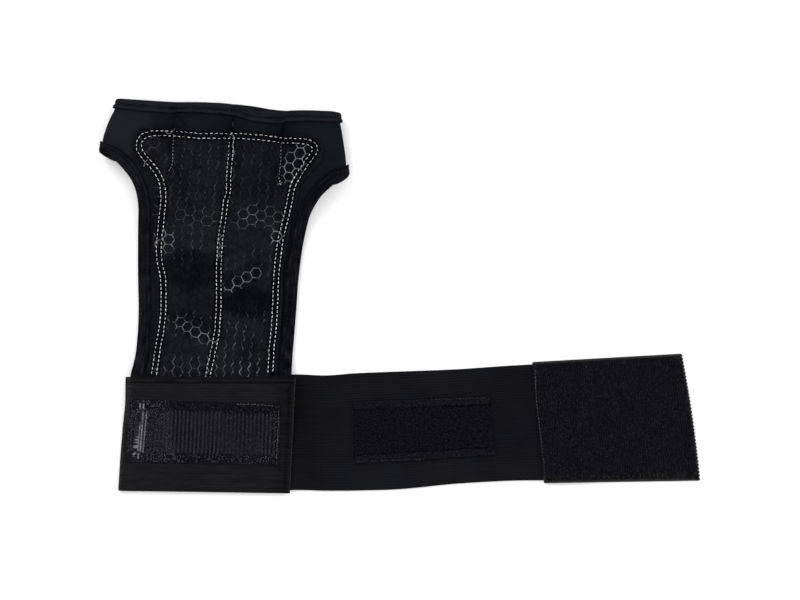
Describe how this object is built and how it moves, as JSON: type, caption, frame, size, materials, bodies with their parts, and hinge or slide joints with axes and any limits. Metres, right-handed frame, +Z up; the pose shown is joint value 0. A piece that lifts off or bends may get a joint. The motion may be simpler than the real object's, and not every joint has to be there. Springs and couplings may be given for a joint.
{
  "type": "fitness glove",
  "caption": "Fingerless palm glove with finger loops, a honeycomb grip pad and bound edges, sewn into a folded elastic wrist wrap with hook and loop fastening, lying flat palm side up",
  "frame": {"origin": "centre of the bounding box on the surface that the glove lies on", "axes": "+X runs along the wrist wrap to its free end, +Y from the wrist to the finger loops, +Z up from the surface, out of the palm side"},
  "size_m": [0.3341, 0.2192, 0.0177],
  "materials": {
    "neoprene": "matt knitted face on neoprene",
    "grip_pad": "satin with raised honeycomb lines",
    "edging": "matt folded tape",
    "elastic": "matt ribbed elastic",
    "hook_tape": "woven nylon with rows of hooks",
    "loop_tape": "brushed fuzzy pile"
  },
  "bodies": {
    "root": {"palm_panel": "neoprene", "grip_pad": "grip_pad", "finger_strip": "neoprene", "mouth_binding": "edging", "side_binding": "edging", "wrist_wrap": "elastic", "hook_patch": "hook_tape", "loop_patch": "loop_tape", "end_tab": "hook_tape"}
  },
  "joints": []
}
